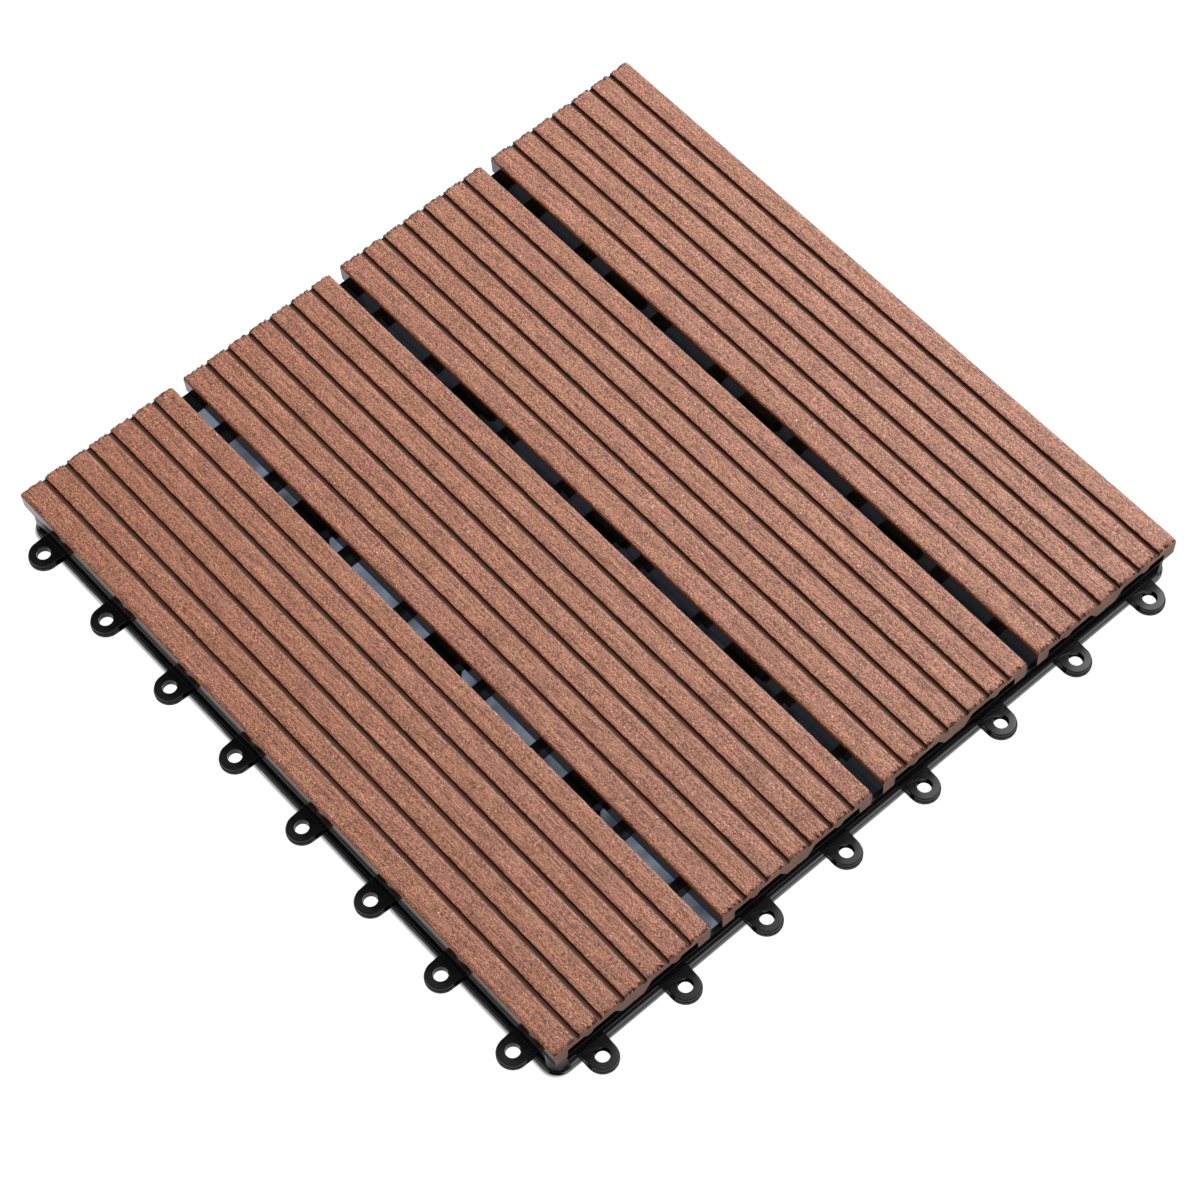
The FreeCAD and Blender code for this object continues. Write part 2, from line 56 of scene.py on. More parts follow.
PARTING, PARTING_LEDGE, PARTING_STEP, STEP_FADE = 3.95 * MM, 0.05 * MM, 0.3 * MM, 2 * MM
LIP_IN, LIP_OUT, LIP_BLUR = -150 * MM, -150.8 * MM, 0.1 * MM
LIP_TOP, LIP_FADE = 2.3 * MM, 0.3 * MM
SHARP = math.radians(28)


def paint(red, green, blue):
    """A colour named by its screen values from 0 to 255, as the light values that Blender works in."""
    shares = [c / 255 for c in (red, green, blue)]
    return tuple([c / 12.92 if c <= 0.04045 else ((c + 0.055) / 1.055) ** 2.4 for c in shares] + [1.0])


def add(tree, kind, inputs=None, **settings):
    """A new node, with its own settings, and its inputs set to values or joined to other sockets."""
    made = tree.nodes.new(kind)
    for name, value in settings.items():
        setattr(made, name, value)
    for key, value in (inputs or {}).items():
        if isinstance(value, bpy.types.NodeSocket):
            tree.links.new(value, made.inputs[key])
        else:
            made.inputs[key].default_value = value
    return made


def maths(tree, what, *values):
    """The result of one sum: values are numbers or sockets."""
    return add(tree, "ShaderNodeMath", dict(enumerate(values)), operation=what).outputs[0]


def split(tree, value):
    """The X, Y and Z of a vector."""
    return add(tree, "ShaderNodeSeparateXYZ", {0: value}).outputs


def faced(tree):
    """The X, Y and Z of the way that the surface faces."""
    return split(tree, add(tree, "ShaderNodeNewGeometry").outputs["Normal"])


def blend(tree, share, one, two):
    """A colour between two others, by share."""
    mix = add(tree, "ShaderNodeMix", data_type="RGBA")
    for slot, value in ((0, share), (6, one), (7, two)):
        if isinstance(value, bpy.types.NodeSocket):
            tree.links.new(value, mix.inputs[slot])
        else:
            mix.inputs[slot].default_value = value
    return mix.outputs[2]


def spread(tree, value, low, high, new_low=0.0, new_high=1.0):
    """A value's range from low to high, stretched to a new one and held inside it."""
    places = {"Value": value, "From Min": low, "From Max": high, "To Min": new_low, "To Max": new_high}
    return add(tree, "ShaderNodeMapRange", places).outputs["Result"]


def new_group(name, takes, gives):
    """A shader group with named inputs and outputs, and the two ends of its tree."""
    group = bpy.data.node_groups.new(name, "ShaderNodeTree")
    for label, kind, value in takes:
        socket = group.interface.new_socket(label, in_out="INPUT", socket_type=kind)
        if value is not None:
            socket.default_value = value
    for label, kind in gives:
        group.interface.new_socket(label, in_out="OUTPUT", socket_type=kind)
    return group, group.nodes.new("NodeGroupInput"), group.nodes.new("NodeGroupOutput")


# cloudy unevenness, shared by every material: a value about one half, coarse or fine
clouds, ends_in, ends_out = new_group(
    "clouds",
    [
        ("Place", "NodeSocketVector", None),
        ("Stretch", "NodeSocketVector", (1, 1, 1)),
        ("Size", "NodeSocketFloat", 100.0),
        ("Detail", "NodeSocketFloat", 3.0),
    ],
    [("Value", "NodeSocketFloat")],
)
scaled = add(
    clouds,
    "ShaderNodeVectorMath",
    {0: ends_in.outputs["Place"], 1: ends_in.outputs["Stretch"]},
    operation="MULTIPLY",
)
noise = add(
    clouds,
    "ShaderNodeTexNoise",
    {
        "Vector": scaled.outputs[0],
        "Scale": ends_in.outputs["Size"],
        "Detail": ends_in.outputs["Detail"],
        "Roughness": 0.6,
    },
)
clouds.links.new(noise.outputs[0], ends_out.inputs["Value"])


def cloud(tree, place, size, stretch=(1, 1, 1), detail=3.0):
    """The clouds group on a surface: size in patches a metre, stretch by axis."""
    group = add(tree, "ShaderNodeGroup", node_tree=clouds)
    tree.links.new(place, group.inputs["Place"])
    group.inputs["Stretch"].default_value = stretch
    group.inputs["Size"].default_value = size
    group.inputs["Detail"].default_value = detail
    return group.outputs["Value"]


def new_material(name):
    """A material, its tree, its main shader and the place on the piece."""
    material = bpy.data.materials.new(name)
    material.use_nodes = True
    tree = material.node_tree
    place = add(tree, "ShaderNodeTexCoord").outputs["Object"]
    return material, tree, tree.nodes["Principled BSDF"], place


satin_black, tree, surface, place = new_material("satin black moulding")
tone = cloud(tree, place, 45)
grain = cloud(tree, place, 2600)
flow = cloud(tree, place, 70, (1, 1, 4))
colour = blend(tree, spread(tree, tone, 0.3, 0.7), paint(9, 9, 11), paint(17, 17, 19))
# painted highlight: the foot flange's lip on the two near sides is painted pale grey, standing in for the
# glossy highlight along it
where = split(tree, place)
side_on = maths(tree, "MINIMUM", where[0], where[1])
past_wall = spread(tree, side_on, LIP_IN - LIP_BLUR, LIP_IN + LIP_BLUR, 1.0, 0.0)
on_lip = spread(tree, where[2], LIP_TOP, LIP_TOP + LIP_FADE, 1.0, 0.0)
painted_lip_highlight = maths(tree, "MULTIPLY", past_wall, on_lip)
painted_lip_highlight = maths(tree, "MULTIPLY", painted_lip_highlight, spread(tree, side_on, LIP_OUT - LIP_BLUR, LIP_OUT + LIP_BLUR))
painted_lip_highlight = maths(tree, "MULTIPLY", painted_lip_highlight, spread(tree, flow, 0.3, 0.7, 0.5, 1.0))
colour = blend(tree, painted_lip_highlight, colour, paint(160, 160, 167))
tree.links.new(colour, surface.inputs["Base Color"])
# upright faces leave the mould smoother than flat ones
flat = maths(tree, "ABSOLUTE", faced(tree)[2])
sheen = spread(tree, flat, 0.05, 0.3, 0.06, 0.30)
sheen = maths(tree, "ADD", sheen, spread(tree, flow, 0.25, 0.75, 0.0, 0.04))
sheen = maths(tree, "ADD", sheen, spread(tree, grain, 0.3, 0.7, -0.015, 0.015))
tree.links.new(sheen, surface.inputs["Roughness"])
surface.inputs["Specular IOR Level"].default_value = 0.35
bump = add(tree, "ShaderNodeBump", {"Height": grain, "Strength": 0.1, "Distance": 0.02 * MM})
tree.links.new(bump.outputs[0], surface.inputs["Normal"])


def on_loop(edge):
    """Whether an edge belongs to a joining loop, outside the wall."""
    ends = [corner.co for corner in edge.verts]
    beside = all(min(end.x, end.y) < WALL_FACE + TOUCH for end in ends)
    return beside and all(LOOP_LOW - TOUCH < end.z < LOOP_TOP + TOUCH for end in ends)


def loop_axis(place):
    """The upright axis of the loop that a point belongs to, as X and Y."""
    middle = LOOP_ROW + round((max(place.x, place.y) - LOOP_ROW) / LOOP_PITCH) * LOOP_PITCH
    return Vector((LOOP_CENTRE, middle)) if place.x < WALL_FACE else Vector((middle, LOOP_CENTRE))


def in_hole(place):
    """Whether a point on a loop is on its hole and not round its outside."""
    return (place.xy - loop_axis(place)).length < LOOP_HOLE / 2 + HOLE_MARGIN


mould = bmesh.new()
mould.from_mesh(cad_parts["base_grid"].data)
bmesh.ops.remove_doubles(mould, verts=mould.verts, dist=WELD)
flat_part = [edge for edge in mould.edges if not on_loop(edge)]
bmesh.ops.dissolve_limit(mould, angle_limit=math.radians(0.5), verts=[], edges=flat_part)
# the loops' holes narrow a little downwards, to leave the mould, and the mould parts half-way up
# the loops, with a small step round their outside
loop_skin = [face for face in mould.faces if all(on_loop(edge) for edge in face.edges)]
for level in (PARTING, PARTING + PARTING_LEDGE):
    loop_skin = [part for part in loop_skin if part.is_valid]
    parts = list({part for face in loop_skin for part in (face, *face.edges, *face.verts)})
    cut = bmesh.ops.bisect_plane(
        mould, geom=parts, plane_co=(0, 0, level), plane_no=(0, 0, 1), dist=WELD / 2
    )
    loop_skin = [part for part in cut["geom"] if isinstance(part, bmesh.types.BMFace)]
for corner in {corner for face in loop_skin for corner in face.verts}:
    axis = loop_axis(corner.co)
    out = corner.co.xy - axis
    if in_hole(corner.co):
        share = HOLE_FOOT + (HOLE_MOUTH - HOLE_FOOT) * (corner.co.z - LOOP_LOW) / (LOOP_TOP - LOOP_LOW)
        corner.co.xy = axis + out * share
    elif corner.co.z > PARTING + PARTING_LEDGE / 2:
        clear_of_wall = WALL_FACE - min(corner.co.x, corner.co.y)
        if clear_of_wall < WALL_FACE - LOOP_CENTRE:
            # the loop's straight cheeks only move sideways
            out[0 if corner.co.x < WALL_FACE else 1] = 0
        corner.co.xy -= out.normalized() * PARTING_STEP * min(1, max(0, clear_of_wall) / STEP_FADE)
softness = mould.edges.layers.float.new("bevel_weight_edge")
for edge in mould.edges:
    if len(edge.link_faces) == 2 and edge.is_convex and edge.calc_face_angle() > SHARP:
        rim = on_loop(edge) and all(corner.co.z > LOOP_TOP - TOUCH for corner in edge.verts)
        if rim and in_hole(edge.verts[0].co):
            edge[softness] = HOLE_EDGE / LOOP_EDGE
        else:
            edge[softness] = 1.0 if rim else MOULD_EDGE / LOOP_EDGE
grid_mesh = bpy.data.meshes.new("moulded_grid")
mould.to_mesh(grid_mesh)
mould.free()
base_grid = bpy.data.objects.new("moulded_grid", grid_mesh)
bpy.context.collection.objects.link(base_grid)
grid_mesh.materials.clear()
grid_mesh.materials.append(satin_black)
for face in grid_mesh.polygons:
    face.material_index = 0
    face.use_smooth = True
grid_mesh.set_sharp_from_angle(angle=SHARP)
edge_round = base_grid.modifiers.new("soft edges", "BEVEL")
edge_round.limit_method = "WEIGHT"
edge_round.width = LOOP_EDGE
edge_round.segments = 3
edge_round.use_clamp_overlap = False
edge_round.loop_slide = False
flat_first = base_grid.modifiers.new("flat faces stay flat", "WEIGHTED_NORMAL")
flat_first.mode = "FACE_AREA"
flat_first.weight = 100
flat_first.keep_sharp = True
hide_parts("base_grid")
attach(base_grid, "root")

# Slats. Four lengths of one extruded wood-plastic section: a ribbed top that is brushed to a fine
# grain, bare dark grooves between the ribs, and two long hollows underneath. They are sawn to
# length, which chips their top edges, and lie on the grid's bars with an open joint between them.
SLATS = 4
SLAT_LENGTH, SLAT_WIDTH, SLAT_HEIGHT = 300 * MM, 71 * MM, 9 * MM
SIDE_LEAN, SIDE_STEPS = 0.3 * MM, 9
TOP_ROUND = 1.0 * MM
BRUSHED_FALL = 1.05 * MM
GROOVES = 6
GROOVE_PITCH, GROOVE_SHIFT = 10.18 * MM, 0.35 * MM
GROOVE_MOUTH, GROOVE_FLOOR, GROOVE_DEPTH = 2.05 * MM, 1.8 * MM, 1.9 * MM
GROOVE_LIP = 0.2 * MM
# a groove's round corner, in from its wall and up from its floor
GROOVE_CORNER = ((0, 0.25 * MM), (0.08 * MM, 0.07 * MM), (0.28 * MM, 0))
RIB_FALL, RIB_FLATNESS, RIB_CROWDING = 0.12 * MM, 7, 0.1
RIB_STEPS = 12
CEILING = 4.9 * MM
LEG_FOOT, LEG_ROOT = 5.4 * MM, 5.65 * MM
CORE_FOOT, CORE_ROOT = 9.8 * MM, 16.7 * MM
CORE_NOTCH, CORE_NOTCH_DEPTH = 1.2 * MM, 0.8 * MM
BEAD_CENTRE, BEAD_BASE, BEAD_TIP, BEAD_HEIGHT = 20 * MM, 4.4 * MM, 1.8 * MM, 1.6 * MM
STATION = 0.75 * MM
EDGE_WEAR, WEAR_SINK = 0.22 * MM, 0.6
SAW_CHIP, CHIP_SINK, SAW_FALL = 1.5 * MM, 0.7, 0.12 * MM
# the last ring of points before a sawn end lies this share of a station nearer to it
RING_SHIFT = 0.7
RAGGED_BAND_IN, RAGGED_BAND_OUT = 148.4 * MM, 149.6 * MM
SPECK_CELL = 3.8 * MM
FOLD = math.radians(35)


def round_fall(past):
    """How far a slat's rounded top corner has fallen, past where it begins."""
    return TOP_ROUND - math.sqrt(max(0, TOP_ROUND**2 - max(0, past) ** 2))


def slat_section():
    """The section's outline from the lower left corner round over the top, as points across and up,
    each with how much it is brushed and which way a chip of its edge would run."""
    foot = SLAT_WIDTH / 2 - SIDE_LEAN
    half = SLAT_WIDTH / 2 - SIDE_LEAN * TOP_ROUND / SLAT_HEIGHT
    shares = [n / SIDE_STEPS for n in range(SIDE_STEPS)]
    side = [(foot + (half - foot) * share, (SLAT_HEIGHT - TOP_ROUND) * share) for share in shares]
    outline = [(-reach, height, 0, 0) for reach, height in side]
    edges = [-half]
    for n in range(GROOVES):
        middle = (n - (GROOVES - 1) / 2) * GROOVE_PITCH + GROOVE_SHIFT
        edges += [middle - GROOVE_MOUTH / 2, middle + GROOVE_MOUTH / 2]
    edges.append(half)
    for rib in range(GROOVES + 1):
        left, right = edges[2 * rib], edges[2 * rib + 1]
        for step in range(RIB_STEPS + 1):
            share = step / RIB_STEPS
            # points crowd towards the rib's two edges
            share = share - RIB_CROWDING * math.sin(2 * math.pi * share)
            across = left + (right - left) * share
            fall = RIB_FALL * abs(2 * share - 1) ** RIB_FLATNESS
            lean = 1 if step == 0 and rib > 0 else -1 if step == RIB_STEPS else 0
            if rib == 0 and share < 0.5:
                fall = round_fall(left + TOP_ROUND - across)
            if rib == GROOVES and share > 0.5:
                fall = round_fall(across - right + TOP_ROUND)
            brushed = 1 if fall < BRUSHED_FALL or 0 < rib < GROOVES else 0
            outline.append((across, SLAT_HEIGHT - fall, brushed, lean))
        if rib < GROOVES:
            bed = (edges[2 * rib + 1] + edges[2 * rib + 2]) / 2
            low = SLAT_HEIGHT - GROOVE_DEPTH
            wall = [(GROOVE_MOUTH / 2, SLAT_HEIGHT - RIB_FALL - GROOVE_LIP)]
            wall += [(GROOVE_FLOOR / 2 - inwards, low + up) for inwards, up in GROOVE_CORNER]
            outline += [(bed - reach, height, 0, 0) for reach, height in wall]
            outline += [(bed + reach, height, 0, 0) for reach, height in reversed(wall)]
    outline += [(reach, height, 0, 0) for reach, height in reversed(side)]
    hollow = [
        (foot - LEG_FOOT, 0),
        (foot - LEG_ROOT, CEILING),
        (BEAD_CENTRE + BEAD_BASE / 2, CEILING),
        (BEAD_CENTRE + BEAD_TIP / 2, CEILING - BEAD_HEIGHT),
        (BEAD_CENTRE - BEAD_TIP / 2, CEILING - BEAD_HEIGHT),
        (BEAD_CENTRE - BEAD_BASE / 2, CEILING),
        (CORE_ROOT / 2, CEILING),
        (CORE_FOOT / 2, 0),
        (CORE_NOTCH / 2, 0),
    ]
    outline += [(across, height, 0, 0) for across, height in hollow]
    outline.append((0, CORE_NOTCH_DEPTH, 0, 0))
    outline += [(-across, height, 0, 0) for across, height in reversed(hollow)]
    return outline


section = bpy.data.meshes.new("slat_section")
outline = slat_section()
# the sweep below turns its outline over, so it is drawn with its height downwards
corners = [(across, -height, 0) for across, height, _, _ in outline]
section.from_pydata(corners, [(n, (n + 1) % len(outline)) for n in range(len(outline))], [])
for label, column in (("brushed", 2), ("chip", 3)):
    marks = section.attributes.new(label, "FLOAT", "POINT")
    for mark, point in zip(marks.data, outline):
        mark.value = point[column]


def new_tree(name, takes):
    """A Geometry Nodes tree with named inputs beside its geometry, and the two ends of it."""
    tree = bpy.data.node_groups.new(name, "GeometryNodeTree")
    tree.interface.new_socket("Geometry", in_out="INPUT", socket_type="NodeSocketGeometry")
    for label, kind in takes:
        tree.interface.new_socket(label, in_out="INPUT", socket_type=kind)
    tree.interface.new_socket("Geometry", in_out="OUTPUT", socket_type="NodeSocketGeometry")
    return tree, tree.nodes.new("NodeGroupInput"), tree.nodes.new("NodeGroupOutput")


def grow(name, source, tree, values):
    """A plain mesh object that the tree makes from a source mesh, with its inputs set by name."""
    seed_object = bpy.data.objects.new(name, source)
    bpy.context.collection.objects.link(seed_object)
    modifier = seed_object.modifiers.new(name, "NODES")
    modifier.node_group = tree
    for item in tree.interface.items_tree:
        if item.in_out == "INPUT" and item.name in values:
            modifier[item.identifier] = values[item.name]
    ready = seed_object.evaluated_get(bpy.context.evaluated_depsgraph_get())
    mesh = bpy.data.meshes.new_from_object(ready)
    mesh.name = name
    seed_object.modifiers.clear()
    seed_object.data = mesh
    return seed_object


def moved(tree, geometry, offset, chosen=None):
    """The geometry with its points shifted by a vector, the chosen ones only."""
    step = add(tree, "GeometryNodeSetPosition", {"Geometry": geometry, "Offset": offset})
    if chosen is not None:
        tree.links.new(chosen, step.inputs["Selection"])
    return step.outputs[0]


def vector(tree, x=0.0, y=0.0, z=0.0):
    """A vector put together from numbers or sockets."""
    return add(tree, "ShaderNodeCombineXYZ", {0: x, 1: y, 2: z}).outputs[0]


# one slat: the outline is swept along Y, ribs' edges are roughened, and both sawn ends are chipped
slat_tree, start, finish = new_tree(
    "sawn slat",
    [
        ("Length", "NodeSocketFloat"),
        ("Station", "NodeSocketFloat"),
        ("Edge wear", "NodeSocketFloat"),
        ("Saw chip", "NodeSocketFloat"),
        ("Seat", "NodeSocketVector"),
        ("Seed", "NodeSocketFloat"),
        ("Finish", "NodeSocketMaterial"),
    ],
)
given = start.outputs
half_length = maths(slat_tree, "MULTIPLY", given["Length"], 0.5)
back_end = vector(slat_tree, y=maths(slat_tree, "MULTIPLY", half_length, -1.0))
front_end = vector(slat_tree, y=half_length)
path = add(slat_tree, "GeometryNodeCurvePrimitiveLine", {"Start": back_end, "End": front_end})
count = maths(slat_tree, "DIVIDE", given["Length"], given["Station"])
path = add(slat_tree, "GeometryNodeResampleCurve", {"Curve": path.outputs[0], "Count": count})
profile = add(slat_tree, "GeometryNodeMeshToCurve", {"Mesh": given["Geometry"]})
swept = add(
    slat_tree,
    "GeometryNodeCurveToMesh",
    {"Curve": path.outputs[0], "Profile Curve": profile.outputs[0], "Fill Caps": True},
).outputs[0]


def named(label):
    """A value stored on the section's points."""
    return add(slat_tree, "GeometryNodeInputNamedAttribute", {"Name": label}, data_type="FLOAT").outputs[0]


def ragged(size, stretch_along, shift):
    """Noise over the slat that differs from slat to slat: size in features a metre."""
    spot = split(slat_tree, add(slat_tree, "GeometryNodeInputPosition").outputs[0])
    along = maths(slat_tree, "MULTIPLY", spot[1], stretch_along)
    layer = maths(slat_tree, "ADD", maths(slat_tree, "MULTIPLY", given["Seed"], 7.3), shift)
    noise_spot = vector(slat_tree, spot[0], along, layer)
    noise = add(slat_tree, "ShaderNodeTexNoise", {"Vector": noise_spot, "Scale": size, "Detail": 2.0})
    return noise.outputs[0]


along = split(slat_tree, add(slat_tree, "GeometryNodeInputPosition").outputs[0])[1]
from_end = maths(slat_tree, "SUBTRACT", half_length, maths(slat_tree, "ABSOLUTE", along))
at_end = maths(slat_tree, "LESS_THAN", from_end, maths(slat_tree, "MULTIPLY", given["Station"], 0.4))
next_in = maths(slat_tree, "LESS_THAN", from_end, maths(slat_tree, "MULTIPLY", given["Station"], 1.4))
next_in = maths(slat_tree, "SUBTRACT", next_in, at_end)
brushed = named("brushed")

# worn spots along the ribs' edges
worn = spread(slat_tree, ragged(420, 1.0, 0.0), 0.42, 0.72)
worn = maths(slat_tree, "MULTIPLY", worn, given["Edge wear"])
sideways = maths(slat_tree, "MULTIPLY", named("chip"), worn)
sunk = maths(slat_tree, "MULTIPLY", maths(slat_tree, "ABSOLUTE", sideways), -WEAR_SINK)
body = moved(slat_tree, swept, vector(slat_tree, x=sideways, z=sunk))

# teeth that the saw tears out of the brushed top at both ends
ragged_end = spread(slat_tree, ragged(820, 0.0, 3.1), 0.46, 0.58)
bite = maths(slat_tree, "MULTIPLY", maths(slat_tree, "MULTIPLY", ragged_end, given["Saw chip"]), brushed)
drop = maths(slat_tree, "MULTIPLY", bite, -CHIP_SINK)
drop = vector(slat_tree, z=maths(slat_tree, "ADD", drop, -SAW_FALL))
body = moved(slat_tree, body, drop, maths(slat_tree, "MULTIPLY", at_end, brushed))
inwards = maths(slat_tree, "MULTIPLY", maths(slat_tree, "SIGN", along), -1.0)
back_off = maths(slat_tree, "MULTIPLY", given["Station"], RING_SHIFT)
back_off = maths(slat_tree, "SUBTRACT", bite, back_off)
body = moved(slat_tree, body, vector(slat_tree, y=maths(slat_tree, "MULTIPLY", inwards, back_off)), next_in)

body = moved(slat_tree, body, given["Seat"])
body = add(slat_tree, "GeometryNodeRealizeInstances", {"Geometry": body}).outputs[0]
body = add(slat_tree, "GeometryNodeSetMaterial", {"Geometry": body, "Material": given["Finish"]})
slat_tree.links.new(body.outputs[0], finish.inputs["Geometry"])

# the brushed top shows fine streaks, pale fibre specks and soft mottling; where the brush doesn't
# reach, in the grooves and on the sides, the extruded skin is darker and smoother, with painted shade
# on its upright faces and painted light on its upward ones, and sawn ends are a greyer brown
composite, tree, surface, place = new_material("brushed wood-plastic")
streak = cloud(tree, place, 1, (3600, 900, 3600), 0.5)
grit = cloud(tree, place, 1, (4600, 3800, 4600), 0.0)
long_streak = cloud(tree, place, 1, (3200, 110, 3200), 0.5)
patch = cloud(tree, place, 70, (1, 0.5, 1))
scratch = cloud(tree, place, 1, (1500, 36, 1500))
grain = maths(tree, "MULTIPLY_ADD", streak, 0.38, maths(tree, "MULTIPLY", grit, 0.41))
grain = maths(tree, "MULTIPLY_ADD", long_streak, 0.21, grain)
top_colour = blend(tree, spread(tree, grain, 0.39, 0.50), paint(68, 33, 22), paint(152, 87, 60))
top_colour = blend(tree, spread(tree, grain, 0.50, 0.60), top_colour, paint(228, 159, 125))
top_colour = blend(tree, spread(tree, patch, 0.35, 0.65, 0.0, 0.10), top_colour, paint(142, 88, 68))
top_colour = blend(tree, spread(tree, scratch, 0.62, 0.70, 0.0, 0.35), top_colour, paint(96, 56, 42))
# pale mineral specks, one to every few square centimetres
cells = add(
    tree,
    "ShaderNodeTexVoronoi",
    {"Vector": place, "Scale": 1 / SPECK_CELL},
    voronoi_dimensions="2D",
)
lot = add(tree, "ShaderNodeSeparateColor", {0: cells.outputs["Color"]}).outputs
bright = spread(tree, cells.outputs["Distance"], 0.045, 0.075, 1.0, 0.0)
bright = maths(tree, "MULTIPLY", bright, spread(tree, lot[0], 0.90, 0.92))
top_colour = blend(tree, maths(tree, "MULTIPLY", bright, lot[1]), top_colour, paint(250, 244, 238))
drawn = spread(tree, cloud(tree, place, 1, (700, 60, 700)), 0.3, 0.7)
# painted shade and light: the skin's upright walls are painted dark and its upward groove beds lighter
shaded_wall_colour = blend(tree, drawn, paint(44, 24, 16), paint(66, 40, 30))
lit_bed_colour = blend(tree, drawn, paint(138, 90, 70), paint(166, 114, 92))
end_mottle = spread(tree, cloud(tree, place, 900), 0.3, 0.7)
end_colour = blend(tree, end_mottle, paint(122, 88, 73), paint(160, 122, 104))
is_brushed = add(tree, "ShaderNodeAttribute", attribute_name="brushed").outputs["Fac"]
is_brushed = spread(tree, is_brushed, 0.5, 0.9)
facing = faced(tree)
sawn = spread(tree, maths(tree, "ABSOLUTE", facing[1]), 0.55, 0.75)
# upward faces take the painted light, upright ones the painted shade
skin_shaded_and_lit = blend(tree, spread(tree, facing[2], 0.5, 0.8), shaded_wall_colour, lit_bed_colour)
# painted highlight: the left top edge of each rib is painted a lighter orange
rib_edge_highlight = add(tree, "ShaderNodeAttribute", attribute_name="chip").outputs["Fac"]
top_colour = blend(tree, spread(tree, rib_edge_highlight, 0.2, 1.0, 0.0, 0.45), top_colour, paint(222, 152, 120))
colour = blend(tree, is_brushed, skin_shaded_and_lit, top_colour)
colour = blend(tree, sawn, colour, end_colour)
# the top is darker in ragged bits along its two ends
last_bit = spread(tree, maths(tree, "ABSOLUTE", split(tree, place)[1]), RAGGED_BAND_IN, RAGGED_BAND_OUT)
ragged_end = spread(tree, cloud(tree, place, 1, (900, 400, 900), 1.0), 0.46, 0.58)
ragged_end = maths(tree, "MULTIPLY", ragged_end, last_bit)
ragged_end = maths(tree, "MULTIPLY", ragged_end, maths(tree, "SUBTRACT", 1.0, sawn))
colour = blend(tree, ragged_end, colour, paint(70, 40, 30))
tree.links.new(colour, surface.inputs["Base Color"])
brushed_sheen = spread(tree, grain, 0.42, 0.58, 0.62, 0.44)
upright = spread(tree, maths(tree, "ABSOLUTE", facing[0]), 0.3, 0.6, 0.62, 0.11)
skin_sheen = maths(tree, "ADD", upright, spread(tree, patch, 0.3, 0.7, -0.03, 0.03))
brushed_sheen = maths(tree, "MULTIPLY", is_brushed, brushed_sheen)
bare = maths(tree, "SUBTRACT", 1.0, is_brushed)
sheen = maths(tree, "MULTIPLY_ADD", bare, skin_sheen, brushed_sheen)
tree.links.new(sheen, surface.inputs["Roughness"])
relief = maths(tree, "ADD", maths(tree, "MULTIPLY", grain, is_brushed), maths(tree, "MULTIPLY", drawn, 0.1))
bump = add(tree, "ShaderNodeBump", {"Height": relief, "Strength": 0.5, "Distance": 0.15 * MM})
tree.links.new(bump.outputs[0], surface.inputs["Normal"])

for number in range(1, SLATS + 1):
    low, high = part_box("slat_%d" % number)
    seat = ((low[0] + high[0]) / 2, 0.0, low[2])
    slat = grow(
        "brushed_slat_%d" % number,
        section.copy(),
        slat_tree,
        {
            "Length": SLAT_LENGTH,
            "Station": STATION,
            "Edge wear": EDGE_WEAR,
            "Saw chip": SAW_CHIP,
            "Seat": seat,
            "Seed": float(number),
            "Finish": composite,
        },
    )
    for face in slat.data.polygons:
        face.use_smooth = True
    slat.data.set_sharp_from_angle(angle=FOLD)
    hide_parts("slat_%d" % number)
    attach(slat, "root")

# Fixing screws. Twelve plated steel pan heads with cross recesses, driven up through the grid's
# bands into the slats' middle ribs, three to a slat. Only their heads show, from underneath.
HEAD_WIDTH, HEAD_HEIGHT, HEAD_EDGE = 7.0 * MM, 2.4 * MM, 0.9 * MM
SHANK, SHANK_LENGTH, POINT_LENGTH = 3.5 * MM, 9.5 * MM, 1.8 * MM
RECESS_LENGTH, RECESS_WIDTH, RECESS_DEPTH = 3.6 * MM, 0.8 * MM, 1.5 * MM
HEAD_STEPS, HEAD_CHAMFER = 8, 0.15 * MM
# a screw's outline is turned round a ring of this radius, and its two ends are then welded shut
HOLE_AT_POLE, POLE_WELD = 0.02 * MM, 0.004 * MM
SCREWS_ACROSS, SCREWS_ALONG = 4, 3

half_outline = [(0, -HEAD_HEIGHT)]
for step in range(1, HEAD_STEPS + 1):
    turn = math.pi / 2 * step / HEAD_STEPS
    drop = HEAD_EDGE + (HEAD_HEIGHT - HEAD_EDGE) * math.cos(turn)
    half_outline.append((HEAD_WIDTH / 2 * math.sin(turn), -drop))
half_outline += [(HEAD_WIDTH / 2, -HEAD_CHAMFER), (HEAD_WIDTH / 2 - HEAD_CHAMFER, 0), (SHANK / 2, 0)]
half_outline += [(SHANK / 2, SHANK_LENGTH - POINT_LENGTH), (0, SHANK_LENGTH)]
screw_outline = bpy.data.meshes.new("screw_outline")
screw_outline.from_pydata(
    [(reach - HOLE_AT_POLE, -height, 0) for reach, height in half_outline],
    [(n, n + 1) for n in range(len(half_outline) - 1)],
    [],
)

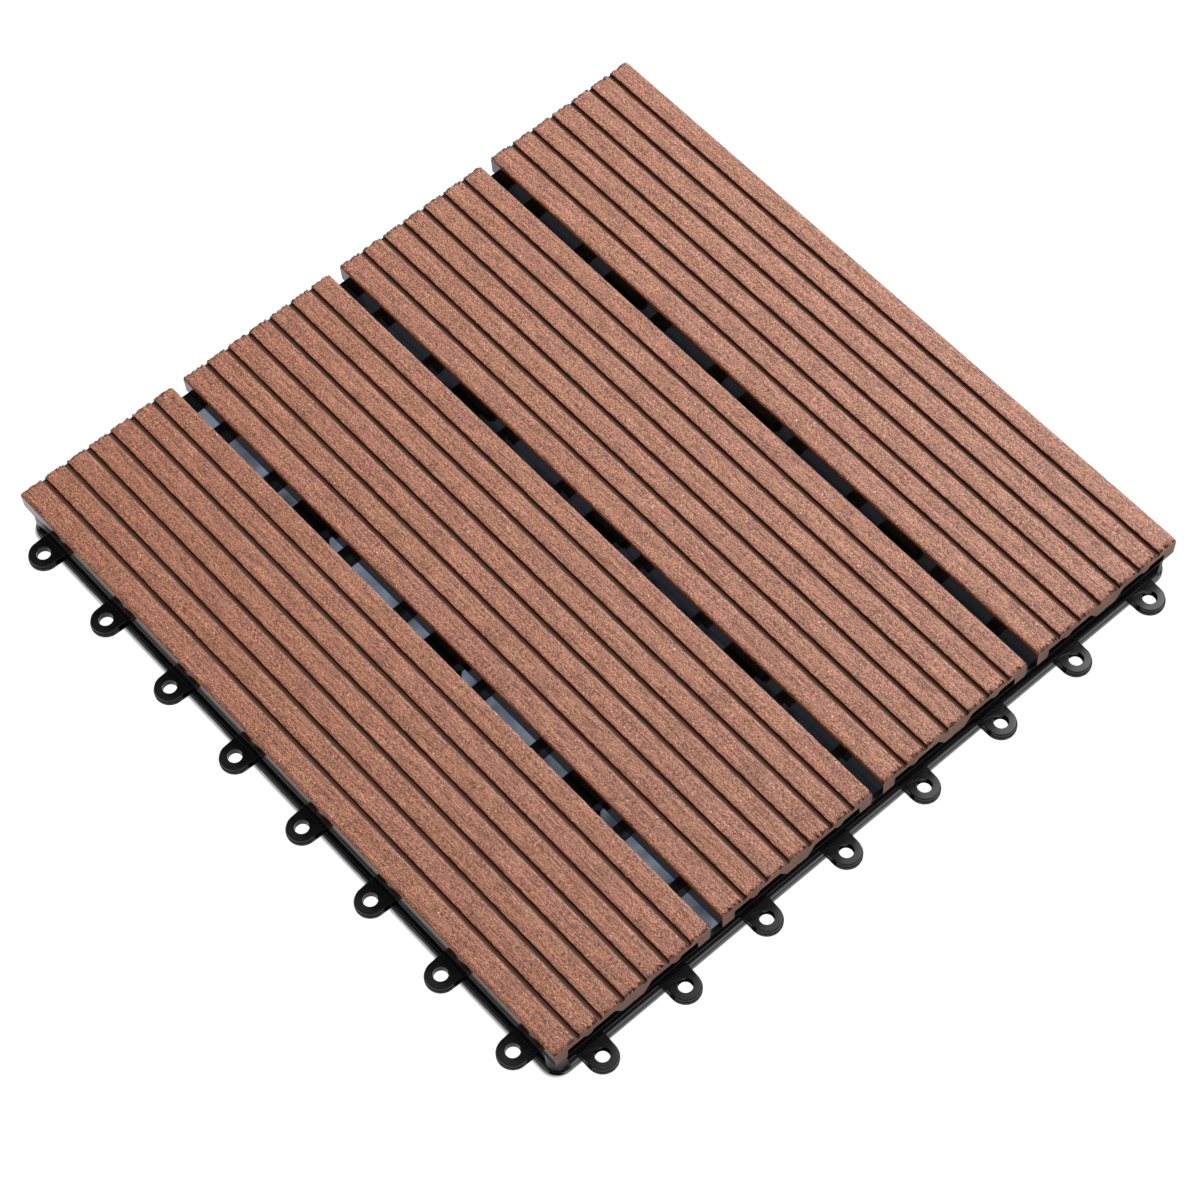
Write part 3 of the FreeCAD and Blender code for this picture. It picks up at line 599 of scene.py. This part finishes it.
screw_tree, start, finish = new_tree(
    "rows of screws",
    [
        ("Pole", "NodeSocketFloat"),
        ("Recess", "NodeSocketVector"),
        ("Recess low", "NodeSocketFloat"),
        ("Across", "NodeSocketFloat"),
        ("Along", "NodeSocketFloat"),
        ("Seat", "NodeSocketVector"),
        ("Finish", "NodeSocketMaterial"),
    ],
)
given = start.outputs
ring = add(screw_tree, "GeometryNodeCurvePrimitiveCircle", {"Resolution": 32, "Radius": given["Pole"]})
profile = add(screw_tree, "GeometryNodeMeshToCurve", {"Mesh": given["Geometry"]})
turned = add(
    screw_tree,
    "GeometryNodeCurveToMesh",
    {"Curve": ring.outputs[0], "Profile Curve": profile.outputs[0]},
).outputs[0]
turned = add(screw_tree, "GeometryNodeMergeByDistance", {"Geometry": turned, "Distance": POLE_WELD})
blade = add(screw_tree, "GeometryNodeMeshCube", {"Size": given["Recess"]}).outputs[0]
cross = add(screw_tree, "GeometryNodeJoinGeometry")
for quarter in (0, math.pi / 2):
    turned_blade = add(
        screw_tree,
        "GeometryNodeTransform",
        {
            "Geometry": blade,
            "Translation": vector(screw_tree, z=given["Recess low"]),
            "Rotation": (0, 0, quarter),
        },
    )
    screw_tree.links.new(turned_blade.outputs[0], cross.inputs[0])
cut = add(screw_tree, "GeometryNodeMeshBoolean", {"Mesh 1": turned.outputs[0]}, operation="DIFFERENCE")
screw_tree.links.new(cross.outputs[0], cut.inputs["Mesh 2"])
rows = add(
    screw_tree,
    "GeometryNodeMeshGrid",
    {
        "Size X": given["Across"],
        "Size Y": given["Along"],
        "Vertices X": SCREWS_ACROSS,
        "Vertices Y": SCREWS_ALONG,
    },
)
# each screw stops at its own turn
chance = add(
    screw_tree,
    "FunctionNodeRandomValue",
    {"Min": (0, 0, 0), "Max": (0, 0, 6.28), "Seed": 7},
    data_type="FLOAT_VECTOR",
)
placed = add(
    screw_tree,
    "GeometryNodeInstanceOnPoints",
    {"Points": rows.outputs["Mesh"], "Instance": cut.outputs["Mesh"], "Rotation": chance.outputs[0]},
)
body = add(screw_tree, "GeometryNodeRealizeInstances", {"Geometry": placed.outputs[0]}).outputs[0]
body = moved(screw_tree, body, given["Seat"])
body = add(screw_tree, "GeometryNodeSetMaterial", {"Geometry": body, "Material": given["Finish"]})
screw_tree.links.new(body.outputs[0], finish.inputs["Geometry"])

plated, tree, surface, place = new_material("plated screw steel")
tone = cloud(tree, place, 900)
wipe = cloud(tree, place, 1, (5000, 5000, 900))
colour = blend(tree, spread(tree, tone, 0.3, 0.7), paint(176, 176, 180), paint(208, 208, 210))
tree.links.new(colour, surface.inputs["Base Color"])
tree.links.new(spread(tree, wipe, 0.3, 0.7, 0.24, 0.4), surface.inputs["Roughness"])
surface.inputs["Metallic"].default_value = 1.0
bump = add(tree, "ShaderNodeBump", {"Height": wipe, "Strength": 0.15, "Distance": 0.03 * MM})
tree.links.new(bump.outputs[0], surface.inputs["Normal"])

low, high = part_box("fixing_screws")
screws = grow(
    "pan_head_screws",
    screw_outline,
    screw_tree,
    {
        "Pole": HOLE_AT_POLE,
        "Recess": (RECESS_LENGTH, RECESS_WIDTH, 2 * RECESS_DEPTH),
        "Recess low": -HEAD_HEIGHT,
        "Across": high[0] - low[0] - HEAD_WIDTH,
        "Along": high[1] - low[1] - HEAD_WIDTH,
        "Seat": ((low[0] + high[0]) / 2, (low[1] + high[1]) / 2, low[2] + HEAD_HEIGHT),
        "Finish": plated,
    },
)
for face in screws.data.polygons:
    face.use_smooth = True
screws.data.set_sharp_from_angle(angle=FOLD)
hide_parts("fixing_screws")
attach(screws, "root")

# Floor and studio. The tile lies on a pale sheet that runs out to plain white, with painted shade on
# the sheet under the tile and close to its walls. A large soft lamp stands to its right and a weak one
# hangs over it, in a room with pale walls.
FLOOR_REACH = 4.0
SHEET = paint(226, 226, 228)
# colours of the painted shadow round the tile and of the painted dim light under it
UNDER_EDGE = paint(26, 26, 28)
UNDER_TILE = paint(216, 230, 255)
# how far from the tile's middle each shade on the sheet begins and ends
STRAIGHT = 143.3 * MM
CAMERA_SHIFT, MIRROR_SHIFT, FLANGE_SHIFT = 1.45 * MM, -1.55 * MM, 0.5 * MM
UNDER_NEAR, UNDER_FAR = 146 * MM, 149 * MM
SHADOW_NEAR, SHADOW_FAR = 148.95 * MM, 150.35 * MM
SHADE_NEAR, SHADE_FAR = 154.1 * MM, 154.9 * MM
FOOT_IN, FOOT_OUT = 149.5 * MM, 150 * MM
FOOT_NEAR, FOOT_FAR = 151.7 * MM, 152.2 * MM
LIT_SIDE, DARK_SIDE = -110 * MM, -30 * MM
# how much of the sheet's glow shows in each of these places
SHEET_SEEN, LIT_UNDER, DARK_UNDER = 0.96, 0.35, 0.022
SHEET_MIRRORED, FOOT_MIRRORED, UNDER_MIRRORED = 0.55, 0.5, 0.1
SHEET_GLOW = 1.1
# each lamp's name, place, size and power
LAMPS = (("soft lamp", (1.30, 0.42, 1.50), 1.4, 47.0), ("top light", (0.0, 0.0, 2.0), 0.6, 2.6))
HORIZON, WALLS, CEILING_GLOW = 0.8, 0.28, 0.18

floor_mesh = bpy.data.meshes.new("floor")
signs = ((-1, -1), (1, -1), (1, 1), (-1, 1))
floor_corners = [(FLOOR_REACH * across, FLOOR_REACH * along, 0) for across, along in signs]
floor_mesh.from_pydata(floor_corners, [], [(0, 1, 2, 3)])
floor = bpy.data.objects.new("floor", floor_mesh)
bpy.context.collection.objects.link(floor)
sheet, tree, surface, place = new_material("pale sheet")
surface.inputs["Roughness"].default_value = 0.9
surface.inputs["Specular IOR Level"].default_value = 0.0
spot = split(tree, place)
beside = maths(tree, "ABSOLUTE", maths(tree, "ADD", spot[1], FLANGE_SHIFT))


def from_middle(shift):
    """How far out a place on the sheet is, measured to a square with round corners, X shifted."""
    across = maths(tree, "ABSOLUTE", maths(tree, "ADD", spot[0], shift))
    past_x = maths(tree, "SUBTRACT", across, STRAIGHT)
    past_y = maths(tree, "SUBTRACT", beside, STRAIGHT)
    corner = maths(tree, "POWER", maths(tree, "MAXIMUM", past_x, 0.0), 2.0)
    corner = maths(tree, "ADD", corner, maths(tree, "POWER", maths(tree, "MAXIMUM", past_y, 0.0), 2.0))
    inner = maths(tree, "MINIMUM", maths(tree, "MAXIMUM", past_x, past_y), 0.0)
    return maths(tree, "ADD", maths(tree, "ADD", maths(tree, "SQRT", corner), STRAIGHT), inner)


# painted shadow: the sheet's own colour turns dark in a band round the tile
mirror_reach = from_middle(MIRROR_SHIFT)
shaded = spread(tree, mirror_reach, SHADE_NEAR, SHADE_FAR, 1.0, 0.0)
tree.links.new(blend(tree, shaded, SHEET, UNDER_EDGE), surface.inputs["Base Color"])
seen_reach = from_middle(CAMERA_SHIFT)
under = spread(tree, seen_reach, UNDER_NEAR, UNDER_FAR, 1.0, 0.0)
glow_colour = blend(tree, under, (1, 1, 1, 1), UNDER_TILE)
glow = add(tree, "ShaderNodeEmission", {"Color": glow_colour, "Strength": SHEET_GLOW})
# what the camera sees: white outside, a narrow painted shadow, and a patchy painted dim light under the
# tile
seen = add(tree, "ShaderNodeLightPath").outputs["Is Camera Ray"]
outside = spread(tree, seen_reach, SHADOW_NEAR, SHADOW_FAR, 0.0, SHEET_SEEN)
inside = spread(tree, spot[0], LIT_SIDE, DARK_SIDE, LIT_UNDER, DARK_UNDER)
patchy = spread(tree, cloud(tree, place, 60), 0.35, 0.65, 0.3, 1.2)
inside = maths(tree, "MULTIPLY", inside, patchy)
open_air = maths(tree, "MULTIPLY", seen, maths(tree, "MAXIMUM", outside, inside))
# what the tile's smooth sides mirror: a painted shadow round the tile, with a painted bright line at its
# foot
mirrored = add(tree, "ShaderNodeLightPath").outputs["Is Glossy Ray"]
clear = spread(tree, mirror_reach, SHADE_NEAR, SHADE_FAR, 0.0, SHEET_MIRRORED)
at_foot = spread(tree, beside, FOOT_NEAR, FOOT_FAR, FOOT_MIRRORED, 0.0)
at_foot = maths(tree, "MULTIPLY", at_foot, spread(tree, beside, FOOT_IN, FOOT_OUT))
clear = maths(tree, "MAXIMUM", clear, at_foot)
clear = maths(tree, "MAXIMUM", clear, maths(tree, "MULTIPLY", under, UNDER_MIRRORED))
open_air = maths(tree, "ADD", open_air, maths(tree, "MULTIPLY", mirrored, clear))
mix = add(tree, "ShaderNodeMixShader", {0: open_air, 1: surface.outputs[0], 2: glow.outputs[0]})
tree.links.new(mix.outputs[0], tree.nodes["Material Output"].inputs["Surface"])
floor_mesh.materials.append(sheet)

world = bpy.data.worlds.new("studio")
bpy.context.scene.world = world
world.use_nodes = True
tree = world.node_tree
seen = add(tree, "ShaderNodeLightPath").outputs["Is Camera Ray"]
surround = tree.nodes["Background"]
surround.inputs["Color"].default_value = (1, 1, 1, 1)
height = split(tree, add(tree, "ShaderNodeTexCoord").outputs["Generated"])[2]
# the walls grow dimmer upwards and are brightest in a band above the floor; the camera sees white
room = spread(tree, height, 0.15, 0.75, WALLS, CEILING_GLOW)
room = maths(tree, "ADD", room, spread(tree, height, 0.03, 0.22, HORIZON - WALLS, 0.0))
room = maths(tree, "MULTIPLY", room, maths(tree, "SUBTRACT", 1.0, seen))
tree.links.new(maths(tree, "ADD", room, seen), surround.inputs["Strength"])

for name, stand, size, power in LAMPS:
    lamp_data = bpy.data.lights.new(name, "AREA")
    lamp_data.shape = "SQUARE"
    lamp_data.size = size
    lamp_data.energy = power
    lamp = bpy.data.objects.new(name, lamp_data)
    lamp.location = stand
    lamp.rotation_euler = Vector(stand).to_track_quat("Z", "Y").to_euler()
    bpy.context.collection.objects.link(lamp)

# Camera. It looks down on the corner between the two rows of loops, as in the photograph, whose
# width and focal length are in pixels. Its place and its three directions were fitted to the tile.
PHOTO_WIDTH, PHOTO_FOCUS, FILM_WIDTH = 1200, 3391.453, 36
CAMERA_STAND = (-0.4074126, -0.5036657, 1.0806597)
RIGHT = Vector((0.74854079, -0.66262219, -0.02487025))
DOWN = Vector((-0.58326216, -0.6401222, -0.50004882))
AHEAD = Vector((0.31542345, 0.38881281, -0.86564002))

lens = bpy.data.cameras.new("camera")
lens.lens = PHOTO_FOCUS * FILM_WIDTH / PHOTO_WIDTH
camera = bpy.data.objects.new("camera", lens)
turn = Matrix((RIGHT, -DOWN, -AHEAD)).transposed().to_4x4()
camera.matrix_world = Matrix.Translation(CAMERA_STAND) @ turn
bpy.context.collection.objects.link(camera)
bpy.context.scene.camera = camera
bpy.context.scene.view_settings.view_transform = "Standard"
